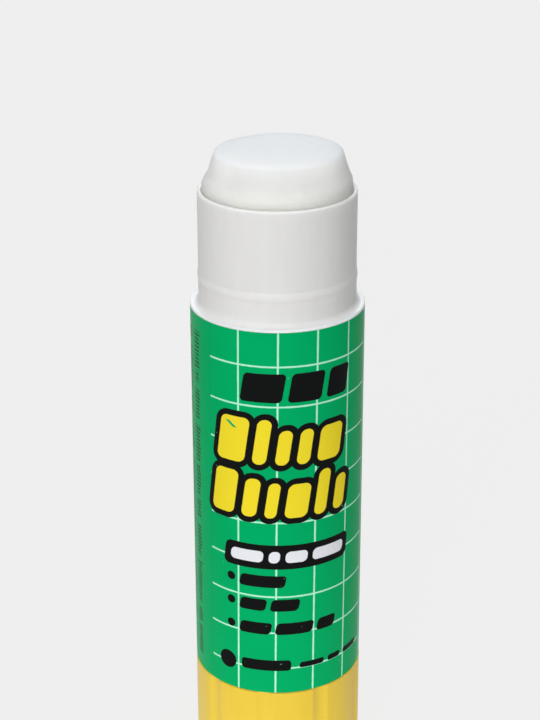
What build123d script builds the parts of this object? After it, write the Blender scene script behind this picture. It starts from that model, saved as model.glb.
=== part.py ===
from build123d import *

import os

# Twist-up glue stick, cap off, standing on its knob. Millimetres, +Z up.
# The origin is the centre of the knob's flat base, and -Y is the printed front.
# A fluted knob turns a left-hand screw spindle inside the barrel. The spindle runs up
# through a carrier cup that two ribs in the barrel keep from turning, so the cup and the
# glue that is cast in it rise by one lead for each turn.

# Knob
knob_flare = 0.05
knob_height = 14.5
knob_wall = 1.5
knob_floor = 1.6
base_band = 1.6
base_edge_round = 0.7
knob_top_round = 0.25
flute_count = 9
flute_radius = 2.6
flute_depth = 0.32
flute_edge_round = 0.8
flute_first_angle = -9.3
foot_ring_width = 2.0
foot_recess = 0.7
boss_wall = 1.8
web_count = 4
web_thickness = 1.2
web_height = 7.5
collar_wall = 1.1
collar_height = 2.0
collar_shelf = 1.3
collar_depth = 2.4

# Barrel and its label
barrel_radius = 11.4
barrel_wall = 1.65
barrel_length = 53.1
neck_wall = 0.58
neck_foot_step = 0.04
neck_height = 15.2
lip_round = 0.28
neck_root_round = 0.6
shoulder_rim_height = 0.3
shoulder_edge_round = 0.2
bead_rise = 0.13
bead_round = 2.2
bead_height = 3.8
label_thickness = 0.1
rib_height = 0.3
rib_width = 0.9
rib_count = 2
rib_lip_setback = 7.6
snap_groove_depth = 0.4
snap_groove_width = 1.5
knob_gap = 0.15

# Spindle
hub_flats = 7.0
hub_sides = 6
hub_length = 7.5
flange_height = 3.8
flange_disc = 1.4
shaft_radius = 3.2
core_radius = 2.3
thread_depth = 0.9
thread_root_width = 2.6
thread_crest_width = 1.7
thread_lead = 5.0
thread_relief = 1.0
thread_embed = 0.15
spindle_lip_setback = 10.45
tip_plain = 1.2
tip_chamfer = 0.5
snap_bead_rise = 0.27
snap_bead_width = 1.0

# Carrier
cup_wall = 0.8
cup_depth = 6.2
cup_floor = 1.2
guide_skirt = 3.0
nut_wall = 1.1
nut_length = 8.0
nut_upstand = 1.5
nut_turns = 1.2
nut_margin = 0.4
fin_count = 4
fin_thickness = 0.9
fin_height = 2.6

# Glue
tip_rise = 4.9
shoulder_drop = 4.0
waist_drop = 3.0
waist_inset = 0.5
face_inset = 1.9
face_round = 0.5
shoulder_round = 1.2
face_tilt_right = 1.6
face_tilt_back = 1.15

# Travel from the rest pose
retract_travel = 6.5
stop_gap = 0.65

# Clearances
running_clearance = 0.1
sliding_clearance = 0.15
glue_clearance = 0.13
thread_clearance = 0.2
spindle_clearance = 0.2
spindle_tip_clearance = 0.6

overrun = 1.0
level_tolerance = 0.01

# Radii, worked out from the sizes above
label_radius = barrel_radius + label_thickness
knob_radius = label_radius + knob_flare
bore_radius = barrel_radius - barrel_wall
neck_radius = bore_radius + neck_wall
neck_foot_radius = neck_radius + neck_foot_step
collar_radius = bore_radius - running_clearance
thread_radius = core_radius + thread_depth
hub_corner_radius = hub_flats / 3**0.5
boss_radius = hub_corner_radius + boss_wall

# Levels, worked out from the sizes above
barrel_base = knob_height + knob_gap
shoulder_level = barrel_base + barrel_length
lip_level = shoulder_level + neck_height
tip_level = lip_level + tip_rise
bead_level = shoulder_level + bead_height
floor_top = foot_recess + knob_floor
boss_top = floor_top + hub_length
collar_top = knob_height + collar_height
flange_top = collar_top + flange_height
nut_low = flange_top + stop_gap + retract_travel
cup_floor_level = nut_low + nut_length + cup_floor
cup_rim_level = cup_floor_level + cup_depth
thread_start = flange_top + thread_relief + thread_root_width / 2
spindle_tip = lip_level - spindle_lip_setback
thread_end = spindle_tip - tip_plain - thread_root_width / 2
snap_level = flange_top - flange_height / 2
rib_start = flange_top + sliding_clearance
rib_end = lip_level - rib_lip_setback


def ring(outer, inner, low, high):
    """A plain tube between two levels."""
    shell = Cylinder(outer, high - low, align=(Align.CENTER, Align.CENTER, Align.MIN))
    hole = Cylinder(inner, high - low + 2 * overrun, align=(Align.CENTER, Align.CENTER, Align.MIN))
    return Pos(0, 0, low) * (shell - Pos(0, 0, -overrun) * hole)


def disc(radius, low, high):
    """A plain cylinder between two levels."""
    return Pos(0, 0, low) * Cylinder(radius, high - low, align=(Align.CENTER, Align.CENTER, Align.MIN))


def circles_at(shape, level):
    """Circular edges of a shape that lie at a level, from the smallest to the largest."""
    circles = shape.edges().filter_by(GeomType.CIRCLE)
    return circles.filter_by_position(
        Axis.Z, level - level_tolerance, level + level_tolerance
    ).sort_by(SortBy.RADIUS)


def turned(*outline):
    """A solid of revolution from a closed outline of (radius, level) points."""
    edges = Polyline(*[(r, 0, z) for r, z in outline], close=True)
    return revolve(make_face(edges), Axis.Z)


def spokes(count, inner, outer, thickness, low, high, first=0.0):
    """Radial bars round the axis, each from one radius to another."""
    bar = Box(outer - inner, thickness, high - low, align=(Align.MIN, Align.CENTER, Align.MIN))
    turns = [Rot(0, 0, first + 360 / count * k) for k in range(count)]
    return [turn * Pos(inner, 0, low) * bar for turn in turns]


def helical_ridge(inner, outer, inner_width, outer_width, start, height, first_angle):
    """A left-hand ridge of trapezoid section that winds up the axis by one lead a turn."""
    line = Helix(thread_lead, height, inner, lefthand=True)
    section_plane = Plane(origin=line @ 0, x_dir=(1, 0, 0), z_dir=line % 0)
    outline = Polyline(
        (0, -inner_width / 2),
        (outer - inner, -outer_width / 2),
        (outer - inner, outer_width / 2),
        (0, inner_width / 2),
        close=True,
    )
    ridge = sweep(section_plane * make_face(outline), path=line, is_frenet=True)
    return Pos(0, 0, start) * Rot(0, 0, first_angle) * ridge


def thread_width(radius):
    """Width of the spindle's thread at a radius, its flanks being straight."""
    share_of_depth = (radius - core_radius) / thread_depth
    return thread_root_width - (thread_root_width - thread_crest_width) * share_of_depth


def make_knob():
    """Fluted grip, a cup with a hexagonal socket for the spindle and a collar for the bore."""
    outline = Circle(knob_radius)
    flute = Circle(flute_radius)
    for k in range(flute_count):
        place = Rot(0, 0, flute_first_angle - 90 + 360 / flute_count * k)
        outline -= place * Pos(knob_radius - flute_depth + flute_radius, 0) * flute
    outline = fillet(outline.vertices(), flute_edge_round)
    grip = Pos(0, 0, base_band) * extrude(outline, knob_height - base_band)
    grip = fillet(grip.edges().group_by(Axis.Z)[-1], knob_top_round)
    band = disc(knob_radius, 0, base_band)
    band = fillet(band.edges().sort_by(Axis.Z)[0], base_edge_round)
    body = grip + band
    body -= disc(knob_radius - base_edge_round - foot_ring_width, -overrun, foot_recess)
    inside = knob_radius - flute_depth - knob_wall
    body -= disc(inside, floor_top, knob_height + overrun)
    boss = disc(boss_radius, foot_recess, boss_top)
    webs = spokes(web_count, 0, inside + knob_wall / 2, web_thickness, foot_recess, web_height)
    collar = ring(collar_radius, collar_radius - collar_wall, knob_height - collar_depth, collar_top)
    shelf = ring(
        inside + knob_wall / 2,
        collar_radius - collar_wall,
        knob_height - collar_depth,
        knob_height - collar_depth + collar_shelf,
    )
    body = body + boss + webs + collar + shelf
    socket = extrude(RegularPolygon(hub_flats / 2, hub_sides, major_radius=False), hub_length + overrun)
    return body - Pos(0, 0, floor_top) * socket


def make_spindle():
    """Screw spindle with the snap flange that turns in the barrel's foot and a hexagonal hub."""
    hub = extrude(RegularPolygon(hub_flats / 2, hub_sides, major_radius=False), hub_length)
    stem = disc(shaft_radius, boss_top, flange_top)
    flange = disc(collar_radius, collar_top, flange_top)
    flange -= disc(collar_radius - collar_wall, collar_top - overrun, flange_top - flange_disc)
    low = snap_level - snap_bead_width / 2
    high = snap_level + snap_bead_width / 2
    crest = collar_radius + snap_bead_rise
    snap_bead = turned(
        (collar_radius - collar_wall / 2, low - snap_bead_rise),
        (collar_radius, low - snap_bead_rise / 2),
        (crest, low + snap_bead_rise / 2),
        (crest, high - snap_bead_rise / 2),
        (collar_radius, high + snap_bead_rise / 2),
        (collar_radius - collar_wall / 2, high + snap_bead_rise),
    )
    core = disc(core_radius, flange_top, spindle_tip)
    core = chamfer(core.edges().sort_by(Axis.Z)[-1], tip_chamfer)
    root = core_radius - thread_embed
    thread_height = thread_end - thread_start
    thread = helical_ridge(
        root, thread_radius, thread_width(root), thread_crest_width, thread_start, thread_height, 0
    )
    return Pos(0, 0, floor_top) * hub + stem + flange + snap_bead + core + thread


def make_barrel():
    """Moulded tube with the neck that a cap slides on, guide ribs and a snap groove."""
    rim_radius = label_radius
    rim_low = shoulder_level - shoulder_rim_height
    outside = turned(
        (0, barrel_base),
        (barrel_radius, barrel_base),
        (barrel_radius, rim_low),
        (rim_radius, rim_low),
        (rim_radius, shoulder_level),
        (neck_foot_radius, shoulder_level),
        (neck_foot_radius, bead_level),
        (neck_radius, bead_level),
        (neck_radius, lip_level),
        (0, lip_level),
    )
    outside = fillet(circles_at(outside, lip_level), lip_round)
    outside = fillet(circles_at(outside, shoulder_level)[0], neck_root_round)
    outside = fillet(circles_at(outside, shoulder_level)[-1], shoulder_edge_round)
    bead_centre = neck_radius + bead_rise - bead_round
    bead = revolve(
        Plane.XZ * Pos(bead_centre, bead_level) * Circle(bead_round),
        Axis.Z,
    )
    bead &= ring(neck_radius + bead_round, neck_radius - bead_rise, shoulder_level, lip_level)
    tube = outside + bead
    tube -= disc(bore_radius, barrel_base - overrun, lip_level + overrun)
    tube = fillet(circles_at(tube, lip_level)[0], lip_round)
    groove = ring(
        bore_radius + snap_groove_depth,
        bore_radius - overrun,
        snap_level - snap_groove_width / 2,
        snap_level + snap_groove_width / 2,
    )
    ribs = spokes(
        rib_count,
        bore_radius - rib_height,
        bore_radius + rib_height,
        rib_width,
        rib_start,
        rib_end,
    )
    return tube - groove + ribs


def make_label():
    """Printed film sleeve that is shrunk on the barrel below its shoulder rim."""
    return ring(
        label_radius,
        barrel_radius,
        barrel_base,
        shoulder_level - shoulder_rim_height,
    )


def make_carrier():
    """Cup that holds the glue's foot, with a nut for the spindle and notches for the ribs."""
    cup_radius = bore_radius - sliding_clearance
    cup_inside = cup_radius - cup_wall
    floor_low = cup_floor_level - cup_floor
    nut_bore = thread_radius + thread_clearance
    nut_radius = nut_bore + nut_wall
    nut_high = cup_floor_level + nut_upstand
    body = ring(cup_radius, cup_inside, floor_low - guide_skirt, cup_rim_level)
    body += disc(cup_radius, floor_low, cup_floor_level)
    body += disc(nut_radius, nut_low, nut_high)
    body += spokes(
        fin_count,
        nut_radius - nut_wall / 2,
        cup_inside + cup_wall / 2,
        fin_thickness,
        cup_floor_level - cup_floor / 2,
        cup_floor_level + fin_height,
        first=180 / fin_count,
    )
    body -= disc(nut_bore, nut_low - overrun, nut_high + overrun)
    body -= spokes(
        rib_count,
        bore_radius - rib_height - sliding_clearance,
        bore_radius + overrun,
        rib_width + 2 * sliding_clearance,
        nut_low - overrun,
        cup_rim_level + overrun,
    )
    inner = core_radius + thread_clearance
    outer = nut_bore + thread_embed
    gap_at_inner = thread_lead - thread_width(inner) - 2 * thread_clearance
    gap_at_outer = thread_lead - thread_width(outer) - 2 * thread_clearance
    start = nut_low + nut_margin + gap_at_outer / 2
    phase = -360 * (start - thread_start - thread_lead / 2) / thread_lead
    thread = helical_ridge(
        inner, outer, gap_at_inner, gap_at_outer, start, nut_turns * thread_lead, phase
    )
    return body + thread


def make_glue(carrier):
    """Adhesive cast in the cup and round the spindle, its tip bevelled and worn askew."""
    radius = bore_radius - glue_clearance
    foot_radius = bore_radius - sliding_clearance - cup_wall
    blank = turned(
        (0, cup_floor_level),
        (foot_radius, cup_floor_level),
        (foot_radius, cup_rim_level),
        (radius, cup_rim_level),
        (radius, tip_level - shoulder_drop),
        (radius - waist_inset, tip_level - waist_drop),
        (radius - face_inset, tip_level + overrun),
        (0, tip_level + overrun),
    )
    blank = fillet(circles_at(blank, tip_level - shoulder_drop), shoulder_round)
    slab = Box(4 * radius, 4 * radius, 4 * overrun, align=(Align.CENTER, Align.CENTER, Align.MIN))
    blank -= Pos(0, 0, tip_level) * Rot(face_tilt_back, -face_tilt_right, 0) * slab
    face_edge = blank.faces().sort_by(Axis.Z)[-1].outer_wire().edges()
    blank = fillet(face_edge, face_round)
    blank -= disc(
        thread_radius + spindle_clearance,
        cup_floor_level - overrun,
        spindle_tip + retract_travel + spindle_tip_clearance,
    )
    blank -= spokes(
        rib_count,
        bore_radius - rib_height - glue_clearance,
        bore_radius + overrun,
        rib_width + 2 * glue_clearance,
        cup_rim_level - overrun,
        rib_end + retract_travel + sliding_clearance,
    )
    return blank - carrier


def main():
    """Builds every piece and writes one STEP file for each."""
    os.makedirs("parts", exist_ok=True)
    carrier = make_carrier()
    pieces = {
        "knob": make_knob(),
        "spindle": make_spindle(),
        "barrel": make_barrel(),
        "label_sleeve": make_label(),
        "carrier": carrier,
        "glue": make_glue(carrier),
    }
    for name, shape in pieces.items():
        solids = shape.solids()
        export_step(Compound(solids) if len(solids) > 1 else solids[0], f"parts/{name}.step")
        print(name, "solids", len(solids), "volume", round(sum(s.volume for s in solids), 1))


main()
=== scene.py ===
"""Looks of the twist-up glue stick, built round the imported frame.

Lengths are metres in the frame's own axes: +Z up, -Y the printed front, the origin under the knob.
The knob, the spindle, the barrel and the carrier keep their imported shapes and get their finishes
here. The glue and the printed film are modelled anew in the same places.
"""

from __future__ import annotations

import logging
import math
from dataclasses import dataclass
from enum import Enum
from functools import reduce
from itertools import zip_longest
from typing import Callable, Sequence

import bpy
from mathutils import Matrix, Vector, noise

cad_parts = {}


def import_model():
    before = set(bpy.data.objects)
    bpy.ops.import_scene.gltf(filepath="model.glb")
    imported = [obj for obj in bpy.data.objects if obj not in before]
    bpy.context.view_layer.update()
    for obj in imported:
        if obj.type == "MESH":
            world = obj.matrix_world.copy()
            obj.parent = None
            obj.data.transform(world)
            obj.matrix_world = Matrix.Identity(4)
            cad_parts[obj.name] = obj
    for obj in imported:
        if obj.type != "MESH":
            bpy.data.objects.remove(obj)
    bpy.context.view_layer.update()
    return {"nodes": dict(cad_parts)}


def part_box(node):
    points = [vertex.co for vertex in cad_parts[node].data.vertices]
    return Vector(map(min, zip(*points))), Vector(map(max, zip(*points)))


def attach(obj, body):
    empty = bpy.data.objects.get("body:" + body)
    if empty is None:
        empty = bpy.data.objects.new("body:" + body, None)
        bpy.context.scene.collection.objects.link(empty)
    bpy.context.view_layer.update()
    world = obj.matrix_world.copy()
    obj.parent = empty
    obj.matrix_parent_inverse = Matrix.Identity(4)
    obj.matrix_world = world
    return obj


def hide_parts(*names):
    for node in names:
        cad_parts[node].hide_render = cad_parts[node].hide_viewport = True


LOG = logging.getLogger("glue_stick")
MM = 0.001
# Points closer than this are one
WELD = 0.002 * MM
# Degrees up to which an edge is shaded smooth
SMOOTH_ANGLE = 35.0
# Half the width of an ink's soft edge, in millimetres
SOFT_EDGE = 0.035

Colour = tuple[float, float, float]
Point = tuple[float, float]
Socket = bpy.types.NodeSocket
Material = bpy.types.Material
Piece = bpy.types.Object


def srgb(*levels: int) -> Colour:
    """Turns a display colour into the linear one that a shader takes.

    Args:
        levels: Red, green and blue, from 0 to 255.

    Returns:
        The same colour in linear light.
    """
    shares = (level / 255 for level in levels)
    return tuple(s / 12.92 if s <= 0.04045 else ((s + 0.055) / 1.055) ** 2.4 for s in shares)


def operator(operation: str) -> Callable[..., Value]:
    """Makes a method that adds one Math node to a value.

    Args:
        operation: The node's operation.

    Returns:
        The method, which takes the other operand where there is one.
    """

    def method(value: Value, *others: Value | float) -> Value:
        """Adds the node and returns its result."""
        return value.math(operation, *others)

    return method


class Value:
    """A number in a shader, which adds its Math nodes as it is used in an expression.

    For masks, | joins two of them and & keeps what two of them share.
    """

    def __init__(self, graph: Graph, socket: Socket) -> None:
        """Wraps an output socket of a graph."""
        self.graph = graph
        self.socket = socket

    def math(self, operation: str, *others: Value | float) -> Value:
        """Adds one Math node.

        Args:
            operation: The node's operation.
            others: The operands that follow this value.

        Returns:
            The node's result.
        """
        inputs = dict(enumerate((self, *others)))
        node = self.graph.node("ShaderNodeMath", inputs, operation=operation)
        return Value(self.graph, node.outputs[0])

    __add__ = operator("ADD")
    __sub__ = operator("SUBTRACT")
    __mul__ = operator("MULTIPLY")
    __truediv__ = operator("DIVIDE")
    __abs__ = operator("ABSOLUTE")
    __or__ = operator("MAXIMUM")
    __and__ = operator("MINIMUM")
    root = operator("SQRT")
    whole = operator("FLOOR")

    def __rsub__(self, other: float) -> Value:
        """A number less this value."""
        return self * -1.0 + other

    def ping(self, period: float) -> Value:
        """Distance to the nearest multiple of a period."""
        return self.math("PINGPONG", period / 2)

    def swing(self, width: float) -> Value:
        """Noise about 0.5, brought about 0 and to a width."""
        return (self - 0.5) * width

    def ramp(self, low: float, high: float) -> Value:
        """Rises smoothly from 0 at one level to 1 at another, which may be the lower one.

        Args:
            low: The value that gives 0.
            high: The value that gives 1.

        Returns:
            The share between them, held at 0 and 1 outside.
        """
        inputs = {"Value": self, "From Min": low, "From Max": high}
        node = self.graph.node("ShaderNodeMapRange", inputs, interpolation_type="SMOOTHSTEP")
        return Value(self.graph, node.outputs["Result"])

    def within(self, low: float, high: float, edge: float) -> Value:
        """1 between two levels, with edges that rise just inside them."""
        return self.ramp(low, low + edge) & self.ramp(high, high - edge)

    def cover(self, reach: float = 0.0) -> Value:
        """1 where a distance in millimetres is within a reach, as ink is with its soft edge."""
        return self.ramp(reach + SOFT_EDGE, reach - SOFT_EDGE)


class Graph:
    """A node tree that starts empty, and the one way in which nodes are added to it."""

    def __init__(self, holder: Material | bpy.types.World) -> None:
        """Empties the tree of a material or of the surroundings."""
        holder.use_nodes = True
        self.tree = holder.node_tree
        self.tree.nodes.clear()

    def node(self, kind: str, inputs: dict, **settings: str) -> bpy.types.Node:
        """Adds a node.

        Args:
            kind: The node's type.
            inputs: Socket name or number to a constant, a socket or a value.
            settings: Attributes that are set before its sockets.

        Returns:
            The new node.
        """
        node = self.tree.nodes.new(kind)
        for key, setting in settings.items():
            setattr(node, key, setting)
        for key, content in inputs.items():
            self.feed(node.inputs[key], content)
        return node

    def feed(self, socket: Socket, content: object) -> None:
        """Links or sets one socket.

        Args:
            socket: The input socket.
            content: A value, an output socket, or a constant.
        """
        if isinstance(content, Value):
            content = content.socket
        if isinstance(content, Socket):
            self.tree.links.new(content, socket)
        elif socket.type == "RGBA":
            socket.default_value = (*content, 1.0)
        else:
            socket.default_value = content

    def seen(self) -> Value:
        """1 for rays from the camera, straight or by way of a gloss, and 0 for light."""
        rays = self.node("ShaderNodeLightPath", {}).outputs
        return Value(self, rays["Is Camera Ray"]) | Value(self, rays["Is Glossy Ray"])


class Finish(Graph):
    """The node tree of one procedural finish, around one Principled shader."""

    def __init__(self, name: str) -> None:
        """Starts a material with a Principled shader.

        Args:
            name: The material's name.
        """
        self.material = bpy.data.materials.new(name)
        super().__init__(self.material)
        self.shader = self.node("ShaderNodeBsdfPrincipled", {})
        self.node("ShaderNodeOutputMaterial", {"Surface": self.shader.outputs[0]})
        self.place = self.node("ShaderNodeTexCoord", {}).outputs["Object"]

    def axes(self) -> tuple[Value, Value, Value]:
        """The place on the piece, in millimetres along X, Y and Z."""
        inputs = {0: self.place, "Scale": 1 / MM}
        scaled = self.node("ShaderNodeVectorMath", inputs, operation="SCALE")
        parts = self.node("ShaderNodeSeparateXYZ", {0: scaled.outputs[0]})
        return tuple(Value(self, parts.outputs[k]) for k in range(3))

    def vector(self, x: Value | float, y: Value | float, z: Value | float) -> Socket:
        """Joins three numbers into a vector socket."""
        return self.node("ShaderNodeCombineXYZ", {0: x, 1: y, 2: z}).outputs[0]

    def noise(self, where: Socket, scale: float, detail: float = 2.0) -> Value:
        """Smooth noise about 0.5.

        Args:
            where: The vector that it is read at.
            scale: Its frequency, per unit of that vector.
            detail: Its octaves.

        Returns:
            The noise.
        """
        inputs = {"Vector": where, "Scale": scale, "Detail": detail}
        return Value(self, self.node("ShaderNodeTexNoise", inputs).outputs["Fac"])

    def specks(self, where: Socket, scale: float, radius: float, share: float) -> Value:
        """Small round marks, scattered without order.

        Args:
            where: The vector that they are placed by.
            scale: Cells per unit of that vector.
            radius: Radius of the largest mark, as a share of a cell.
            share: Share of the cells that have one.

        Returns:
            The marks' mask.
        """
        cells = self.node("ShaderNodeTexVoronoi", {"Vector": where, "Scale": scale})
        colour = self.node("ShaderNodeSeparateColor", {0: cells.outputs["Color"]})
        chance = Value(self, colour.outputs[0])
        size = Value(self, colour.outputs[1]) * (radius * 0.6) + radius * 0.4
        inside = (Value(self, cells.outputs["Distance"]) / size).ramp(1.0, 0.7)
        return inside * chance.ramp(1.001 - share, 1.002 - share)

    def mix(self, factor: Value | float, below: object, above: object) -> Socket:
        """Blends two colours.

        Args:
            factor: 0 for the first colour, 1 for the second.
            below: The first colour.
            above: The second colour.

        Returns:
            The blended colour.
        """
        inputs = {"Factor": factor, 6: below, 7: above}
        return self.node("ShaderNodeMix", inputs, data_type="RGBA").outputs[2]

    def bump(self, height: Value, depth: float, below: Socket | None = None) -> Socket:
        """Turns a height into a normal.

        Args:
            height: The height, where 1 stands proud by the depth.
            depth: The relief's depth in metres.
            below: A normal to start from.

        Returns:
            The normal.
        """
        inputs = {"Height": height, "Distance": depth}
        if below is not None:
            inputs["Normal"] = below
        return self.node("ShaderNodeBump", inputs).outputs[0]

    def dress(self, **inputs: object) -> Material:
        """Feeds the Principled shader.

        Args:
            inputs: Socket names with underscores for spaces, and what each gets.

        Returns:
            The finished material.
        """
        for name, content in inputs.items():
            self.feed(self.shader.inputs[name.replace("_", " ")], content)
        return self.material


@dataclass(frozen=True)
class MouldedPlastic:
    """An injection-moulded plastic with flow streaks, fine grain and stray dust.

    A piece may have a flat, polished ledge, painted paler and cooler as painted light from above.
    It sets in between two distances past its inner radius and dies away between two distances from its
    level, in millimetres.
    """

    name: str
    colour: Colour
    streak_colour: Colour
    dust_colour: Colour
    roughness: float
    specular: float = 0.5
    subsurface: float = 0.0
    subsurface_radius: Colour = (1.0, 0.8, 0.6)
    streak_share: float = 0.35
    streak_stretch: float = 0.12
    streak_edges: Point = (0.35, 0.7)
    dust_share: float = 0.02
    swell_depth: float = 0.02 * MM
    grain_depth: float = 0.004 * MM
    # The ledge's colour is painted light: paler and cooler than the moulding.
    ledge_painted_light: Colour = srgb(240, 241, 240)
    ledge_gloss: float = 0.5
    ledge_roughness: float = 0.12
    ledge_start: Point = (0.25, 0.9)
    ledge_band: Point = (0.5, 0.3)

    def material(self, ledge: Point | None = None) -> Material:
        """Builds the finish.

        Args:
            ledge: Inner radius and level of the polished ledge, painted paler as painted light, if the
                piece has one.

        Returns:
            The material.
        """
        graph = Finish(self.name)
        x, y, z = graph.axes()
        here = graph.vector(x, y, z)
        along = graph.vector(x, y, z * self.streak_stretch)
        streaks = graph.noise(along, scale=0.9, detail=3.0).ramp(*self.streak_edges)
        swell = graph.noise(along, scale=0.5, detail=1.0)
        cloud = graph.noise(here, scale=0.16)
        grain = graph.noise(here, scale=9.0, detail=3.0)
        dust = graph.specks(here, scale=0.8, radius=0.09, share=self.dust_share)
        tint = graph.mix(streaks * self.streak_share, self.colour, self.streak_colour)
        if ledge:
            beyond = ((x * x + y * y).root() - ledge[0] / MM).ramp(*self.ledge_start)
            polish_and_painted_light = abs(z - ledge[1] / MM).ramp(*self.ledge_band) * beyond
            # Painted light: the ledge is painted paler and cooler than the rest, as if lit from above;
            # its coat gloss is real.
            tint = graph.mix(polish_and_painted_light, tint, self.ledge_painted_light)
            graph.dress(Coat_Weight=polish_and_painted_light * self.ledge_gloss, Coat_Roughness=self.ledge_roughness)
        return graph.dress(
            Base_Color=graph.mix(dust, tint, self.dust_colour),
            Roughness=cloud.swing(0.12) + grain.swing(0.06) + self.roughness,
            Normal=graph.bump(swell, self.swell_depth, graph.bump(grain, self.grain_depth)),
            Specular_IOR_Level=self.specular,
            Subsurface_Weight=self.subsurface,
            Subsurface_Radius=self.subsurface_radius,
            Subsurface_Scale=MM,
        )


@dataclass(frozen=True)
class WaxyGlue:
    """The adhesive: white, waxy, a little translucent and yellowish below, with painted shade and
    painted light.

    Pairs are where a mark sets in and where it is full: the top's in millimetres from the tip, the
    foot's from the lip, the painted front shade's towards the front, and the scrape's in radians from
    the front.
    """

    name: str = "waxy_glue"
    # The top's colour is painted shade: a little darker and cooler than the side, against the light
    # from above.
    top_painted_shade: Colour = srgb(233, 232, 231)
    side_colour: Colour = srgb(236, 235, 231)
    # The front's colour is painted shade: darker where the light strikes the bevel most.
    front_painted_shade: Colour = srgb(219, 218, 217)
    # The foot's colour is its own yellowish tint, painted paler near the lip as painted light.
    foot_tint_and_painted_light: Colour = srgb(243, 242, 232)
    # The pits' colour is painted shade in the dents.
    pit_painted_shade: Colour = srgb(205, 205, 200)
    speck_colour: Colour = srgb(120, 115, 105)
    top_edges: Point = (-0.5, -0.12)
    foot_edges: Point = (3.4, -0.2)
    front_shade_edges: Point = (1.0, 8.0)
    front_shade_middle: float = -2.6
    pit_shade_share: float = 0.3
    pit_depth: float = 0.05 * MM
    smear_depth: float = 0.05 * MM
    fine_depth: float = 0.008 * MM
    scrape_level: float = 1.1
    scrape_fall: float = 0.12
    scrape_width: float = 0.16
    scrape_start: Point = (0.55, 0.9)
    scrape_end: Point = (2.2, 1.8)
    scrape_depth: float = 0.09 * MM
    roughness: float = 0.58
    specular: float = 0.15
    reach: Colour = (9.0, 8.7, 8.0)

    def material(self, tip: float, lip: float) -> Material:
        """Builds the finish.

        Args:
            tip: Level of the glue's tip at rest, in metres.
            lip: Level of the neck's lip at rest, in metres.

        Returns:
            The material.
        """
        graph = Finish(self.name)
        x, y, z = graph.axes()
        here = graph.vector(x, y, z)
        cloud = graph.noise(here, scale=0.35, detail=3.0)
        smear = graph.noise(graph.vector(x * 0.5, y * 1.6, z * 0.8), scale=1.4, detail=4.0)
        fine = graph.noise(here, scale=6.0, detail=4.0)
        pits_and_pit_shade = graph.specks(here, scale=1.1, radius=0.16, share=0.10)
        specks = graph.specks(here, scale=0.55, radius=0.05, share=0.06)

        above = z - lip / MM
        # Painted shade: the front of the bevel, which the light strikes most, is painted darker.
        front_shade = (cloud.swing(4.0) - y - abs(x - self.front_shade_middle) * 0.5).ramp(*self.front_shade_edges)
        # Painted light: near the lip, where shade falls, the foot is painted paler; its yellowish tint
        # is its own.
        low = (above + cloud.swing(0.8)).ramp(*self.foot_edges)
        side = graph.mix(low, graph.mix(front_shade, self.side_colour, self.front_painted_shade), self.foot_tint_and_painted_light)
        # Painted shade: the face on top is painted a little darker and cooler than the side.
        body = graph.mix((z - tip / MM).ramp(*self.top_edges), side, self.top_painted_shade)
        # Painted shade: the pits are painted darker than the glue around them; their dents are real
        # relief.
        with_pit_shade = graph.mix(pits_and_pit_shade * self.pit_shade_share, body, self.pit_painted_shade)

        around = x.math("ARCTAN2", y * -1.0)
        line = abs(above - self.scrape_level + cloud.swing(0.3) + around * self.scrape_fall)
        ends = around.ramp(*self.scrape_start) * around.ramp(*self.scrape_end)
        relief = graph.bump(line.ramp(self.scrape_width, 0.0) * ends, self.scrape_depth)
        relief = graph.bump(fine, self.fine_depth, relief)
        relief = graph.bump(smear, self.smear_depth, relief)
        return graph.dress(
            Base_Color=graph.mix(specks, with_pit_shade, self.speck_colour),
            Roughness=smear.swing(0.25) + self.roughness,
            Normal=graph.bump(pits_and_pit_shade, -self.pit_depth, relief),
            Specular_IOR_Level=self.specular,
            Subsurface_Weight=1.0,
            Subsurface_Radius=self.reach,
            Subsurface_Scale=MM,
        )


@dataclass(frozen=True)
class Spot:
    """A place on the film, in millimetres: arc from the front's middle, and drop below the top."""

    across: Value
    drop: Value


@dataclass(frozen=True)
class Bar:
    """A rounded, slanted bar of the print, in the measures of a spot."""

    left: float
    right: float
    top: float
    bottom: float
    corner: float
    slant: float = 0.0

    def distance(self, spot: Spot) -> Value:
        """Distance outside the bar's edge.

        Args:
            spot: The place on the film.

        Returns:
            The distance in millimetres, which is negative inside.
        """
        below = spot.drop - (self.top + self.bottom) / 2
        leaning = spot.across - (self.left + self.right) / 2 + below * self.slant
        wide = (abs(leaning) - ((self.right - self.left) / 2 - self.corner)) | 0.0
        high = (abs(below) - ((self.bottom - self.top) / 2 - self.corner)) | 0.0
        return (wide * wide + high * high).root() - self.corner


def dot(across: float, drop: float, radius: float) -> Bar:
    """A round dot, which is a bar that is all corner."""
    return Bar(across - radius, across + radius, drop - radius, drop + radius, radius)


@dataclass(frozen=True)
class BarRow:
    """A row of bars that share their corners, slant and gap. Some may start lower than others."""

    left: float
    top: float
    bottom: float
    widths: tuple[float, ...]
    gap: float = 0.6
    corner: float = 0.55
    slant: float = 0.2
    lowered: tuple[float, ...] = ()

    def bars(self) -> list[Bar]:
        """Sets out the bars from left to right.

        Returns:
            The bars.
        """
        left = self.left
        bars = []
        for width, lowered in zip_longest(self.widths, self.lowered, fillvalue=0.0):
            corner = min(self.corner, width / 2 - 0.05)
            bars.append(Bar(left, left + width, self.top + lowered, self.bottom, corner, self.slant))
            left += width + self.gap
        return bars


class Ink(Enum):
    """Colours on the film: its inks, a darker tone, its worn and cut places, and dust."""

    GROUND = srgb(0, 167, 98)
    CREASE = srgb(0, 150, 86)
    LINE = srgb(184, 243, 217)
    SMALL = srgb(8, 46, 33)
    BLACK = srgb(18, 19, 19)
    YELLOW = srgb(235, 214, 46)
    WHITE = srgb(224, 226, 232)
    WORN = srgb(120, 205, 165)
    CUT = srgb(150, 215, 185)
    DUST = srgb(210, 235, 225)


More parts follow.
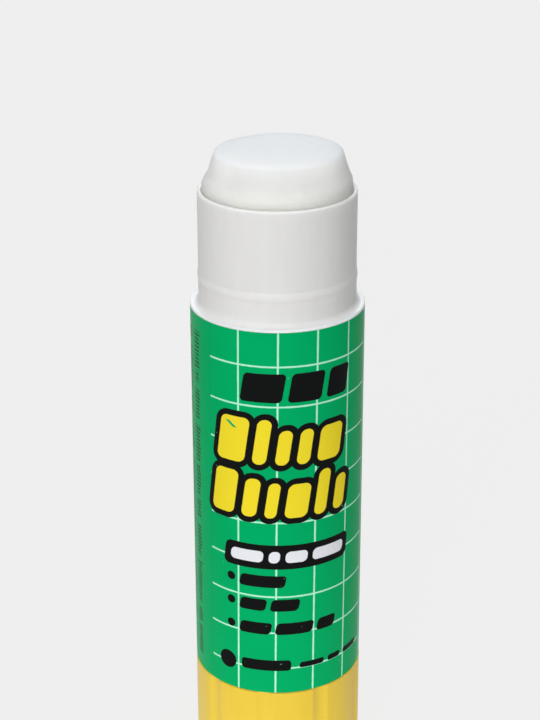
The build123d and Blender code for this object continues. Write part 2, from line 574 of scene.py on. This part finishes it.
@dataclass(frozen=True)
class GridRule:
    """The ruled grid of the print, in the measures of a spot."""

    first_column: float = -5.38
    column_pitch: float = 5.25
    columns: int = 5
    first_row: float = 4.65
    row_pitch: float = 5.54
    rows: int = 9
    row_left: float = -10.0
    row_right: float = 15.3
    half_width: float = 0.12
    margin: float = 1.0

    def mask(self, spot: Spot, waver: Value) -> Value:
        """Mask of the grid's pale lines.

        Args:
            spot: The place on the film.
            waver: A small uneven width.

        Returns:
            The mask.
        """
        last_column = self.first_column + self.column_pitch * (self.columns - 1)
        last_row = self.first_row + self.row_pitch * (self.rows - 1)
        column = (spot.across - self.first_column).ping(self.column_pitch) + waver
        row = (spot.drop - self.first_row).ping(self.row_pitch) + waver
        columns = spot.across.within(self.first_column - self.margin, last_column + self.margin, 0.1)
        rows = spot.drop.within(self.first_row - self.margin, last_row + self.margin, 0.1)
        rows &= spot.across.within(self.row_left, self.row_right, 0.08)
        return (column.cover(self.half_width) & columns) | (row.cover(self.half_width) & rows)


@dataclass(frozen=True)
class TickColumns:
    """Columns of fine ticks up the left side, which stand for small print.

    The odd factors only set the noise of each column and tick apart.
    """

    first: float = -13.45
    pitch: float = 2.55
    columns: int = 7
    top: float = 2.2
    bottom: float = 50.6
    tick: float = 0.56
    half_width: float = 0.15
    shift: float = 0.37
    tallest: float = 1.3
    word_level: float = 0.40

    def mask(self, graph: Finish, spot: Spot) -> Value:
        """Mask of the ticks.

        Args:
            graph: The graph that it goes in.
            spot: The place on the film.

        Returns:
            The mask.
        """
        half = self.pitch / 2
        beside = self.first - spot.across
        number = (beside / self.pitch + 0.5).whole()
        mark = (spot.drop / self.tick + number * self.shift).whole()
        word = graph.noise(graph.vector(number * 7.31, spot.drop, 0.0), scale=0.55, detail=1.0)
        height = graph.noise(graph.vector(mark * 1.37, number * 3.1, 5.0), scale=1.0, detail=0.0)
        offset = graph.noise(graph.vector(mark * 2.11, number * 1.7, 9.0), scale=1.0, detail=0.0)
        middle = (beside + half).math("FLOORED_MODULO", self.pitch) - half + offset.swing(0.5)
        ticks = (abs(middle) - height * self.tallest).cover()
        ticks &= (spot.drop + number * self.shift * self.tick).ping(self.tick).cover(self.half_width)
        ticks &= word.ramp(self.word_level, self.word_level + 0.01)
        ticks &= beside.within(-half, self.pitch * (self.columns - 0.5), 0.01)
        return ticks & spot.drop.within(self.top, self.bottom, 0.1)


@dataclass(frozen=True)
class StripedPanel:
    """A pale panel at the back, with upright stripes of uneven width in its field."""

    panel: Bar = Bar(20.0, 31.0, 33.0, 48.0, 0.5)
    field: Bar = Bar(21.0, 30.0, 33.9, 47.1, 0.05)
    stripe_width: float = 0.28
    dark_level: float = 0.50

    def mask(self, graph: Finish, spot: Spot) -> Value:
        """Mask of the stripes. The odd numbers only set their noise apart from other noise.

        Args:
            graph: The graph that it goes in.
            spot: The place on the film.

        Returns:
            The mask.
        """
        number = (spot.across / self.stripe_width).whole()
        dark = graph.noise(graph.vector(number * 3.7, 2.0, 8.0), scale=1.0, detail=0.0)
        return dark.ramp(self.dark_level, self.dark_level + 0.01) & self.field.distance(spot).cover()


@dataclass(frozen=True)
class FrontPrint:
    """Plain bars, dashes and dots on the film's front."""

    heading: BarRow = BarRow(-4.9, 5.6, 9.6, (5.6, 4.6, 3.4), gap=0.75, corner=0.6, slant=0.16)
    upper_block: BarRow = BarRow(
        -8.35, 12.0, 18.4, (4.2, 1.9, 1.8, 1.8, 3.6),
        gap=1.05, corner=0.9, slant=0.14, lowered=(0.0, 0.0, 1.5, 1.5, 1.5),
    )
    lower_block: BarRow = BarRow(
        -9.3, 19.7, 26.1, (3.6, 2.1, 1.6, 3.1, 1.8, 1.9),
        gap=1.05, corner=0.9, slant=0.14, lowered=(0.0, 0.8, 1.3, 1.5, 0.0, 1.5),
    )
    banner: Bar = Bar(-7.5, 10.7, 30.1, 33.7, 0.9, 0.12)
    dashes: BarRow = BarRow(-6.5, 31.05, 32.75, (4.6, 1.5, 3.0, 5.0), gap=0.75, corner=0.65, slant=0.12)
    list_rows: tuple[BarRow, ...] = (
        BarRow(-5.15, 34.7, 36.5, (6.3,)),
        BarRow(-5.15, 38.3, 40.1, (3.7, 3.9)),
        BarRow(-5.15, 41.9, 43.7, (4.4, 5.2, 2.9)),
    )
    foot_bar: Bar = Bar(-4.9, 2.0, 47.7, 49.35, 0.5)
    foot_row: BarRow = BarRow(3.2, 48.2, 49.05, (3.6, 2.2, 3.4), gap=0.7, corner=0.3, slant=0.12)
    bullets: tuple[Bar, ...] = (dot(-6.5, 35.5, 0.62), dot(-6.5, 39.1, 0.62), dot(-6.5, 42.7, 0.62))
    foot_dot: Bar = dot(-7.1, 48.65, 1.36)
    nick: Bar = Bar(-6.75, -6.15, 12.7, 13.6, 0.12, -1.3)

    def black(self) -> list[Bar]:
        """Lists what is black, but for the outline of the two blocks."""
        rows = (self.heading, *self.list_rows, self.foot_row)
        single = (self.banner, self.foot_bar, self.foot_dot, *self.bullets)
        return [*single, *(bar for row in rows for bar in row.bars())]


def nearest(spot: Spot, bars: Sequence[Bar]) -> Value:
    """Distance outside the nearest of several bars."""
    return reduce(Value.__and__, (bar.distance(spot) for bar in bars))


@dataclass(frozen=True)
class PrintedFilmFinish:
    """The printed film: green ground, pale grid, and plain shapes in black, yellow and white.

    Widths are millimetres, and pairs are where a mark sets in and where it is full.
    """

    radius: float
    top: float
    name: str = "printed_film"
    front: FrontPrint = FrontPrint()
    grid: GridRule = GridRule()
    ticks: TickColumns = TickColumns()
    back: StripedPanel = StripedPanel()
    skew: float = 0.0078
    skew_centre: float = 27.0
    outline: float = 0.85
    line_waver: float = 0.07
    edge_waver: float = 0.05
    seam_place: float = -34.15
    seam_edges: Point = (0.10, 0.03)
    dark_line_place: float = -10.05
    dark_line_edges: Point = (0.16, 0.02)
    mottle_edges: Point = (0.3, 0.75)
    scratch_edges: Point = (0.735, 0.75)
    relief_depth: float = 0.012 * MM
    roughness: float = 0.33
    specular: float = 0.025

    def material(self) -> Material:
        """Builds the finish.

        Returns:
            The material.
        """
        graph = Finish(self.name)
        x, y, z = graph.axes()
        here = graph.vector(x, y, z)
        arc = x.math("ARCTAN2", y * -1.0) * (self.radius / MM)
        drop = self.top / MM - z
        across = arc + (drop - self.skew_centre) * self.skew
        spot = Spot(across, drop)
        rough_edge = graph.noise(here, scale=5.0).swing(self.edge_waver)
        inked = Spot(across + rough_edge, drop + rough_edge)

        blocks = nearest(inked, [*self.front.upper_block.bars(), *self.front.lower_block.bars()])
        stripes = self.back.mask(graph, spot)
        black = blocks.cover(self.outline) | nearest(inked, self.front.black()).cover() | stripes
        yellow = blocks.cover()
        white = nearest(inked, [*self.front.dashes.bars(), self.back.panel]).cover() * (1.0 - stripes)
        small = self.ticks.mask(graph, spot)
        lines = self.grid.mask(spot, graph.noise(here, scale=1.3).swing(self.line_waver))
        nick = self.front.nick.distance(spot).cover()

        strokes = graph.vector(across * 0.9, drop * 3.5, across * 0.4)
        scratches = graph.noise(strokes, scale=1.1, detail=5.0).ramp(*self.scratch_edges)
        chips = graph.specks(here, scale=0.9, radius=0.075, share=0.22)
        worn = (scratches * 0.5) | (chips * 0.8)
        mottle = graph.noise(here, scale=0.22, detail=3.0)
        # A thin darker upright line near where the grid's rows start.
        dark_line = abs(across - self.dark_line_place).ramp(*self.dark_line_edges)
        seam = abs(arc - self.seam_place).ramp(*self.seam_edges)
        dust = graph.specks(graph.vector(x, y, z + 31.0), scale=0.7, radius=0.075, share=0.10)

        colour = Ink.GROUND.value
        for share, ink in (
            ((mottle.ramp(*self.mottle_edges) * 0.16) | (dark_line * 0.5), Ink.CREASE),
            (lines * 0.93, Ink.LINE),
            (small * 0.85, Ink.SMALL),
            (black, Ink.BLACK),
            (yellow, Ink.YELLOW),
            (white, Ink.WHITE),
            (worn * (black | yellow), Ink.WORN),
            (seam * 0.45, Ink.CUT),
            (nick, Ink.GROUND),
            (dust * 0.8, Ink.DUST),
        ):
            colour = graph.mix(share, colour, ink.value)

        height = black | (yellow * 0.6) | white | (lines * 0.5)
        peel = graph.bump(graph.noise(here, scale=1.6), self.relief_depth)
        return graph.dress(
            Base_Color=colour,
            Roughness=black * -0.05 + mottle.swing(0.10) + worn * 0.2 + self.roughness,
            Normal=graph.bump(height, self.relief_depth, peel),
            Specular_IOR_Level=self.specular,
        )


class Bench:
    """Modelling by operators, on the active object."""

    @staticmethod
    def clear() -> None:
        """Leaves edit mode and deselects everything."""
        if bpy.context.object and bpy.context.object.mode != "OBJECT":
            bpy.ops.object.mode_set(mode="OBJECT")
        bpy.ops.object.select_all(action="DESELECT")

    @classmethod
    def hold(cls, piece: Piece) -> None:
        """Makes a piece the active and only selected object."""
        cls.clear()
        bpy.context.view_layer.objects.active = piece
        piece.select_set(True)

    @staticmethod
    def name(name: str) -> Piece:
        """Names the active object and its mesh."""
        piece = bpy.context.object
        piece.name = piece.data.name = name
        return piece

    @classmethod
    def turn(cls, name: str, outline: Sequence[Point], steps: int, angle: float = math.tau) -> Piece:
        """Draws an open line in the XZ plane, point by point, and turns it about the axis.

        Args:
            name: The new object's name.
            outline: Radius and height of each point, in metres.
            steps: Columns round the axis.
            angle: How far it turns, in radians. Only a full turn closes the body.

        Returns:
            The object, in object mode.
        """
        cls.clear()
        bpy.ops.mesh.primitive_plane_add(size=MM)
        piece = cls.name(name)
        bpy.ops.object.mode_set(mode="EDIT")
        bpy.ops.mesh.select_all(action="SELECT")
        bpy.ops.mesh.merge(type="CENTER")
        bpy.ops.transform.translate(value=(outline[0][0], 0.0, outline[0][1]))
        for before, after in zip(outline, outline[1:]):
            step = (after[0] - before[0], 0.0, after[1] - before[1])
            bpy.ops.mesh.extrude_region_move(TRANSFORM_OT_translate={"value": step})
        bpy.ops.mesh.select_all(action="SELECT")
        bpy.ops.mesh.spin(steps=steps, angle=angle, center=(0.0, 0.0, 0.0), axis=(0.0, 0.0, 1.0))
        if angle == math.tau:
            bpy.ops.mesh.select_all(action="SELECT")
            bpy.ops.mesh.remove_doubles(threshold=WELD)
            bpy.ops.mesh.normals_make_consistent(inside=False)
        bpy.ops.object.mode_set(mode="OBJECT")
        return piece

    @classmethod
    def modify(cls, piece: Piece, kind: str, **settings: object) -> None:
        """Applies one modifier to a piece.

        Args:
            piece: The piece.
            kind: The modifier's type.
            settings: Its settings.
        """
        modifier = piece.modifiers.new(kind.lower(), kind)
        for key, setting in settings.items():
            setattr(modifier, key, setting)
        cls.hold(piece)
        bpy.ops.object.modifier_apply(modifier=modifier.name)

    @classmethod
    def cut(cls, piece: Piece, tool: Piece) -> None:
        """Cuts a tool's shape out of a piece and deletes the tool."""
        cls.modify(piece, "BOOLEAN", operation="DIFFERENCE", solver="EXACT", object=tool)
        bpy.data.objects.remove(tool)

    @classmethod
    def smooth(cls, piece: Piece) -> None:
        """Shades a piece smooth, but for its sharper edges."""
        cls.hold(piece)
        bpy.ops.object.shade_smooth_by_angle(angle=math.radians(SMOOTH_ANGLE))
        cls.clear()

    @staticmethod
    def paint(piece: Piece, material: Material) -> None:
        """Puts one material on a whole piece."""
        piece.data.materials.clear()
        piece.data.materials.append(material)


def rounded(outline: Sequence[tuple[float, float, float]], steps: int = 6) -> list[Point]:
    """Rounds the corners of an open outline with arcs.

    Args:
        outline: Radius, height and corner rounding of each point.
        steps: Pieces of each arc.

    Returns:
        The outline's points.
    """
    points: list[Point] = [outline[0][:2]]
    for before, corner, after in zip(outline, outline[1:], outline[2:]):
        here = Vector(corner[:2])
        if corner[2] == 0:
            points.append(tuple(here))
            continue
        arriving = (Vector(before[:2]) - here).normalized()
        leaving = (Vector(after[:2]) - here).normalized()
        half = arriving.angle(leaving) / 2
        reach = corner[2] / math.tan(half)
        centre = here + (arriving + leaving).normalized() * (corner[2] / math.sin(half))
        start = here + arriving * reach - centre
        end = here + leaving * reach - centre
        turn = start.angle_signed(end)
        for k in range(steps + 1):
            angle = -turn * k / steps
            cos, sin = math.cos(angle), math.sin(angle)
            across = centre.x + start.x * cos - start.y * sin
            points.append((across, centre.y + start.x * sin + start.y * cos))
    points.append(outline[-1][:2])
    return points


@dataclass(frozen=True)
class Swell:
    """Smooth unevenness: its size, its place in the noise, and how far it goes out and up."""

    size: float
    shift: tuple[float, float, float]
    out: float
    up: float

    def level(self, place: Vector) -> float:
        """Its level at a place, about 0."""
        return noise.noise(place / self.size + Vector(self.shift))


@dataclass
class GlueCharge:
    """The stick of glue: cast round the spindle, its tip bevelled and a little worn.

    Drops run down from the tip, insets inwards from the side, and rounds are corner radii.
    """

    body: str = "carrier_body"
    node: str = "glue"
    slot: str = "adhesive"
    columns: int = 224
    snug: float = 0.10 * MM
    bore_radius: float = 3.4 * MM
    bore_roof: float = 8.2 * MM
    foot_inset: float = 0.92 * MM
    foot_height: float = 6.2 * MM
    tip_wear: float = 0.13 * MM
    shoulder_drop: float = 3.5 * MM
    side_rings: Point = (2.4 * MM, 1.3 * MM)
    kink_height: float = 0.75 * MM
    kink_inset: float = 0.24 * MM
    kink_round: float = 0.5 * MM
    waist_drop: float = 2.9 * MM
    waist_inset: float = 0.62 * MM
    waist_round: float = 0.7 * MM
    bevel_share: float = 0.55
    bevel_round: float = 6.0 * MM
    face_inset: float = 1.60 * MM
    face_round: float = 0.55 * MM
    face_rings: tuple[float, ...] = (0.72, 0.56, 0.38, 0.2)
    wear_drop: float = 4.9 * MM
    broad: Swell = Swell(4.2 * MM, (3.1, 0.4, 7.7), 0.11 * MM, 0.05 * MM)
    fine: Swell = Swell(1.3 * MM, (9.2, 5.4, 1.7), 0.025 * MM, 0.012 * MM)
    right_bulge: float = 0.20 * MM
    bulge_height: float = 0.9 * MM
    right_fill: float = 0.34 * MM
    fill_drop: float = 3.0 * MM
    fill_height: float = 1.6 * MM
    tilt_right: float = 0.008
    tilt_back: float = 0.008
    groove_width: float = 1.16 * MM
    groove_depth: float = 0.40 * MM
    groove_overlap: float = 0.1 * MM
    groove_end: float = 0.95 * MM
    overrun: float = MM
    nut_radius: float = 4.5 * MM
    nut_height: float = 1.5 * MM
    fin_height: float = 2.6 * MM
    fin_width: float = 0.9 * MM
    fin_shift: float = 0.3 * MM
    fins: int = 4

    def outline(self, radius: float, floor: float, tip: float) -> list[Point]:
        """The charge's outline from its bore to its tip.

        Args:
            radius: The charge's radius.
            floor: Level of its foot.
            tip: Level of its tip.

        Returns:
            Radius and level of each point.
        """
        foot = radius - self.foot_inset
        side = tip - self.shoulder_drop
        bevel_inset = self.waist_inset * (1 - self.bevel_share) + self.face_inset * self.bevel_share
        corners = [
            (0.0, tip - self.bore_roof, 0.0),
            (self.bore_radius, tip - self.bore_roof, 0.0),
            (self.bore_radius, floor, 0.0),
            (foot, floor, 0.0),
            (foot, floor + self.foot_height, 0.0),
            (radius, floor + self.foot_height, 0.0),
            *((radius, side - drop, 0.0) for drop in self.side_rings),
            (radius, side - self.kink_height, self.kink_round),
            (radius - self.kink_inset, side, self.kink_round),
            (radius - self.waist_inset, tip - self.waist_drop, self.waist_round),
            (radius - bevel_inset, tip - self.waist_drop / 2, self.bevel_round),
            (radius - self.face_inset, tip, self.face_round),
            *((radius * share, tip, 0.0) for share in self.face_rings),
            (0.0, tip, 0.0),
        ]
        return rounded(corners)

    def wear(self, piece: Piece, radius: float, tip: float) -> None:
        """Tilts the face, fills the right side a little and makes the tip uneven.

        Args:
            piece: The charge.
            radius: Its radius.
            tip: Level of its tip.
        """
        start = tip - self.wear_drop
        for vertex in piece.data.vertices:
            place = vertex.co
            if place.z < start:
                continue
            away = math.hypot(place.x, place.y)
            share = min(1.0, (place.z - start) / (tip - start))
            ease = share * share * (3 - 2 * share)
            broad, fine = self.broad.level(place), self.fine.level(place)
            waist = math.exp(-(((tip - self.waist_drop - place.z) / self.bulge_height) ** 2))
            bulge = waist * self.right_bulge * place.x / radius / max(ease, 0.2)
            filled = min(1.0, max(0.0, (place.z - tip + self.fill_drop) / self.fill_height))
            bulge += filled * self.right_fill * max(0.0, place.x) / radius
            out = Vector((place.x, place.y, 0.0)) / max(away, 0.01 * MM)
            dent = broad * self.broad.out + fine * self.fine.out + bulge
            place += out * dent * ease * min(1.0, away / radius)
            lift = place.x * self.tilt_right + place.y * self.tilt_back
            place.z += ease * (lift + broad * self.broad.up + fine * self.fine.up)

    def box_tool(self, size: Vector, middle: Vector, turn: float) -> Piece:
        """Makes a box to cut with, turned about the axis.

        Args:
            size: Its size.
            middle: Its middle, before it is turned.
            turn: The turn, in radians.

        Returns:
            The tool.
        """
        Bench.clear()
        bpy.ops.mesh.primitive_cube_add(size=1.0)
        tool = Bench.name("tool")
        cos, sin = math.cos(turn), math.sin(turn)
        for vertex in tool.data.vertices:
            place = Vector(part * length for part, length in zip(vertex.co, size)) + middle
            vertex.co = (place.x * cos - place.y * sin, place.x * sin + place.y * cos, place.z)
        return tool

    def cut_seats(self, piece: Piece, radius: float, floor: float, lip: float) -> None:
        """Cuts the two rib grooves and the seats of the carrier's nut and fins.

        Args:
            piece: The charge.
            radius: Its radius.
            floor: Level of its foot.
            lip: Level of the neck's lip.
        """
        low, high = floor + self.foot_height - self.groove_overlap, lip - self.groove_end
        size = Vector((2 * self.overrun, self.groove_width, high - low))
        middle = Vector((radius - self.groove_depth + self.overrun, 0.0, (low + high) / 2))
        for turn in (0.0, math.pi):
            Bench.cut(piece, self.box_tool(size, middle, turn))
        size = Vector((radius - self.bore_radius, self.fin_width, 2 * self.fin_height))
        middle = Vector(((radius + self.bore_radius) / 2 - self.fin_shift, 0.0, floor))
        for number in range(self.fins):
            Bench.cut(piece, self.box_tool(size, middle, math.tau / self.fins * (number + 0.5)))
        Bench.clear()
        bpy.ops.mesh.primitive_cylinder_add(
            vertices=64, radius=self.nut_radius, depth=2 * self.nut_height, location=(0.0, 0.0, floor)
        )
        bpy.ops.object.transform_apply(location=True, rotation=False, scale=False)
        Bench.cut(piece, Bench.name("tool"))

    def build(self, lip: float) -> Piece:
        """Models the charge in its node's place.

        Args:
            lip: Level of the neck's lip.

        Returns:
            The piece.
        """
        low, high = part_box(self.node)
        radius = (high.y - low.y) / 2 + self.snug
        tip = high.z - self.tip_wear
        piece = Bench.turn("glue_charge", self.outline(radius, low.z, tip), self.columns)
        self.wear(piece, radius, tip)
        self.cut_seats(piece, radius, low.z, lip)
        Bench.smooth(piece)
        Bench.paint(piece, WaxyGlue().material(tip, lip))
        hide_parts(self.node)
        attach(piece, self.body)
        return piece


@dataclass
class LabelFilm:
    """The printed film: one wrap round the barrel, below its rim, with a narrow lap at the back.

    Its end lifts on the lap. Where the lift starts and how long it grows are counted in laps.
    """

    body: str = "barrel_body"
    node: str = "label_sleeve"
    slot: str = "label_film"
    rim_depth: float = 0.1 * MM
    rim_height: float = 0.3 * MM
    columns: int = 240
    rows: int = 8
    edge_inset: float = 0.25 * MM
    start: float = math.pi / 2 - 0.10
    lap: float = 3.2 * MM
    lap_rise: float = 0.008 * MM
    lap_lift: float = 0.055 * MM
    lift_start: float = 2.5
    lift_length: float = 1.5
    edge_depth: float = 0.15 * MM
    edge_waver: float = 0.035 * MM

    def outline(self, radius: float, low: float, high: float) -> list[Point]:
        """The film's upright line, with short steps at both edges.

        Args:
            radius: The film's radius.
            low: Level of its lower edge.
            high: Level of its top edge.

        Returns:
            Radius and level of each point.
        """
        inset = self.edge_inset
        middle = [low + (high - low) * k / self.rows for k in range(1, self.rows)]
        levels = [low, low + inset, *middle, high - inset, high - inset / 3, high]
        return [(radius, level) for level in levels]

    def build(self) -> Piece:
        """Models the film in its node's place.

        Returns:
            The piece.
        """
        low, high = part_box(self.node)
        outer = (high.x - low.x) / 2
        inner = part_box("barrel")[1].x - self.rim_depth
        turn = math.tau + self.lap / outer
        piece = Bench.turn("label_film", self.outline(inner, low.z, high.z), self.columns, turn)
        self.lay(piece, inner, high.z)
        Bench.modify(piece, "SOLIDIFY", thickness=outer - inner - self.lap_rise, offset=1.0)
        Bench.smooth(piece)
        Bench.paint(piece, PrintedFilmFinish(outer, high.z).material())
        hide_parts(self.node)
        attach(piece, self.body)
        return piece

    def lay(self, piece: Piece, radius: float, top: float) -> None:
        """Starts the wrap at the back, lifts its end, wavers its top edge and faces it outwards.

        Args:
            piece: The film as one open sheet.
            radius: Radius of the sheet.
            top: Level of its top edge.
        """
        sheet_rows = len(self.outline(radius, 0.0, top))
        step = (math.tau + self.lap / radius) / self.columns
        for vertex in piece.data.vertices:
            turned = step * (vertex.index // sheet_rows)
            past = max(0.0, turned - math.tau + self.lift_start * self.lap / radius)
            rise = min(1.0, past * radius / (self.lift_length * self.lap))
            lifted = radius + rise * self.lap_lift
            cos, sin = math.cos(self.start + turned), math.sin(self.start + turned)
            vertex.co.x = lifted * cos
            vertex.co.y = lifted * sin
            if vertex.co.z > top - self.edge_depth:
                around = Vector((cos, sin, 0.0))
                waver = noise.noise(around * 5.0) + 0.6 * noise.noise(around * 17.0)
                vertex.co.z += self.edge_waver * (waver - 0.8)
        piece.data.flip_normals()


@dataclass
class PackedPieces:
    """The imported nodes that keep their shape, and the finish of each."""

    neck_radius: float = 10.37 * MM
    white: MouldedPlastic = MouldedPlastic(
        "white_moulding", srgb(236, 234, 231), srgb(230, 228, 223), srgb(120, 110, 95),
        roughness=0.40, specular=0.25, subsurface=0.6, subsurface_radius=(2.2, 2.1, 1.9),
    )
    yellow: MouldedPlastic = MouldedPlastic(
        "yellow_moulding", srgb(226, 193, 57), srgb(223, 188, 48), srgb(150, 120, 40),
        roughness=0.36, specular=0.3, subsurface=0.06, subsurface_radius=(1.0, 0.7, 0.2),
    )
    natural: MouldedPlastic = MouldedPlastic(
        "natural_moulding", srgb(226, 226, 220), srgb(216, 216, 208), srgb(130, 125, 115),
        roughness=0.48, subsurface=0.15, subsurface_radius=(1.0, 0.95, 0.8),
    )

    def dress(self, nodes: dict[str, Piece], shoulder: float) -> None:
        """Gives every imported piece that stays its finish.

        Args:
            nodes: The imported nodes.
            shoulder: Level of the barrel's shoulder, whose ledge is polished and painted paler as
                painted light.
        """
        natural = self.natural.material()
        finishes = {
            "barrel": self.white.material((self.neck_radius, shoulder)),
            "knob": self.yellow.material(),
            "spindle": natural,
            "carrier": natural,
        }
        for node, material in finishes.items():
            Bench.paint(nodes[node], material)
            LOG.info("dressed %s with %s", node, material.name)


@dataclass(frozen=True)
class SoftLight:
    """A round soft light, placed by its direction from what it lights.

    Its azimuth runs from the front to the right, in degrees like its elevation.
    """

    name: str
    azimuth: float
    elevation: float
    distance: float
    size: float
    power: float
    colour: Colour

    def add(self, target: Vector) -> None:
        """Adds the light, facing its target.

        Args:
            target: The place that it faces.
        """
        azimuth, elevation = math.radians(self.azimuth), math.radians(self.elevation)
        level = math.cos(elevation)
        direction = Vector((math.sin(azimuth) * level, -math.cos(azimuth) * level, math.sin(elevation)))
        data = bpy.data.lights.new(self.name, "AREA")
        data.shape = "DISK"
        data.size = self.size
        data.energy = self.power
        data.color = self.colour
        light = bpy.data.objects.new(self.name, data)
        bpy.context.scene.collection.objects.link(light)
        light.location = target + direction * self.distance
        light.rotation_euler = direction.to_track_quat("Z", "Y").to_euler()
        light.visible_camera = False
        light.visible_glossy = self.elevation > 0


@dataclass
class Studio:
    """Pale floor, soft light and the camera at the photograph's place.

    The camera's height is above the shoulder, and its pitch, roll and yaw are radians.
    """

    shoulder: float
    distance: float = 221.15 * MM
    height: float = 82.41 * MM
    pitch: float = 0.3906
    roll: float = -0.0027
    yaw: float = 0.00450
    focal_pixels: float = 1796.0
    frame_pixels: float = 720.0
    sensor: float = 36.0
    clip_start: float = 0.01
    clip_end: float = 20.0
    floor_size: float = 6.0
    floor_colour: Colour = srgb(162, 160, 157)
    backdrop_colour: Colour = srgb(248, 248, 248)
    sky_colour: Colour = srgb(240, 240, 240)
    backdrop_share: float = 0.88
    ambient: float = 0.31
    upper_lights: tuple[SoftLight, ...] = (
        SoftLight("key", -13.0, 20.0, distance=0.9, size=0.6, power=6.1, colour=(1.0, 0.995, 0.985)),
        SoftLight("overhead", 0.0, 86.0, distance=0.8, size=0.6, power=1.85, colour=(0.86, 0.96, 1.05)),
        SoftLight("back", 180.0, 24.0, distance=0.9, size=0.7, power=2.1, colour=(0.93, 0.99, 1.03)),
    )
    bounce: SoftLight = SoftLight(
        "bounce", 0.0, -90.0, distance=0.0, size=0.13, power=0.028, colour=(1.0, 0.99, 0.97)
    )
    bounce_level: float = 0.3 * MM

    def camera(self) -> None:
        """Places the camera."""
        data = bpy.data.cameras.new("camera")
        data.sensor_fit = "VERTICAL"
        data.sensor_height = self.sensor
        data.lens = self.focal_pixels / self.frame_pixels * self.sensor
        data.clip_start = self.clip_start
        data.clip_end = self.clip_end
        camera = bpy.data.objects.new("camera", data)
        bpy.context.scene.collection.objects.link(camera)
        camera.location = (0.0, -self.distance, self.shoulder + self.height)
        yaw = Matrix.Rotation(self.yaw, 3, "Z")
        pitch = Matrix.Rotation(math.pi / 2 - self.pitch, 3, "X")
        roll = Matrix.Rotation(self.roll, 3, "Z")
        camera.rotation_euler = (yaw @ pitch @ roll).to_euler()
        bpy.context.scene.camera = camera

    def floor(self) -> None:
        """Adds the floor, which the camera sees nearly even and which keeps a soft shadow."""
        Bench.clear()
        bpy.ops.mesh.primitive_plane_add(size=self.floor_size)
        floor = Bench.name("floor")
        material = bpy.data.materials.new("floor")
        graph = Graph(material)
        shade = graph.node("ShaderNodeBsdfDiffuse", {"Color": self.floor_colour}).outputs[0]
        glow = graph.node("ShaderNodeEmission", {"Color": self.backdrop_colour}).outputs[0]
        share = graph.seen() * self.backdrop_share
        both = graph.node("ShaderNodeMixShader", {0: share, 1: shade, 2: glow}).outputs[0]
        graph.node("ShaderNodeOutputMaterial", {"Surface": both})
        Bench.paint(floor, material)

    def lights(self) -> None:
        """Adds the even surroundings, the soft lights and the table's bounce."""
        world = bpy.data.worlds.new("surroundings")
        bpy.context.scene.world = world
        graph = Graph(world)
        white = {"Color": (1.0, 1.0, 1.0), "Strength": self.ambient}
        soft = graph.node("ShaderNodeBackground", white).outputs[0]
        pale = graph.node("ShaderNodeBackground", {"Color": self.sky_colour}).outputs[0]
        both = graph.node("ShaderNodeMixShader", {0: graph.seen(), 1: soft, 2: pale}).outputs[0]
        graph.node("ShaderNodeOutputWorld", {"Surface": both})
        for light in self.upper_lights:
            light.add(Vector((0.0, 0.0, self.shoulder)))
        self.bounce.add(Vector((0.0, 0.0, self.bounce_level)))

    def build(self) -> None:
        """Sets up the whole stage."""
        self.camera()
        self.floor()
        self.lights()
        bpy.context.scene.view_settings.view_transform = "Standard"


def main() -> None:
    """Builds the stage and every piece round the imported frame."""
    logging.basicConfig(level=logging.INFO, format="%(message)s")
    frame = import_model()
    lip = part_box("barrel")[1].z
    film = LabelFilm()
    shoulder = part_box(film.node)[1].z + film.rim_height
    Studio(shoulder).build()
    PackedPieces().dress(frame["nodes"], shoulder)
    for piece in (film.build(), GlueCharge().build(lip)):
        LOG.info("modelled %s with %d faces", piece.name, len(piece.data.polygons))


if __name__ == "__main__":
    main()
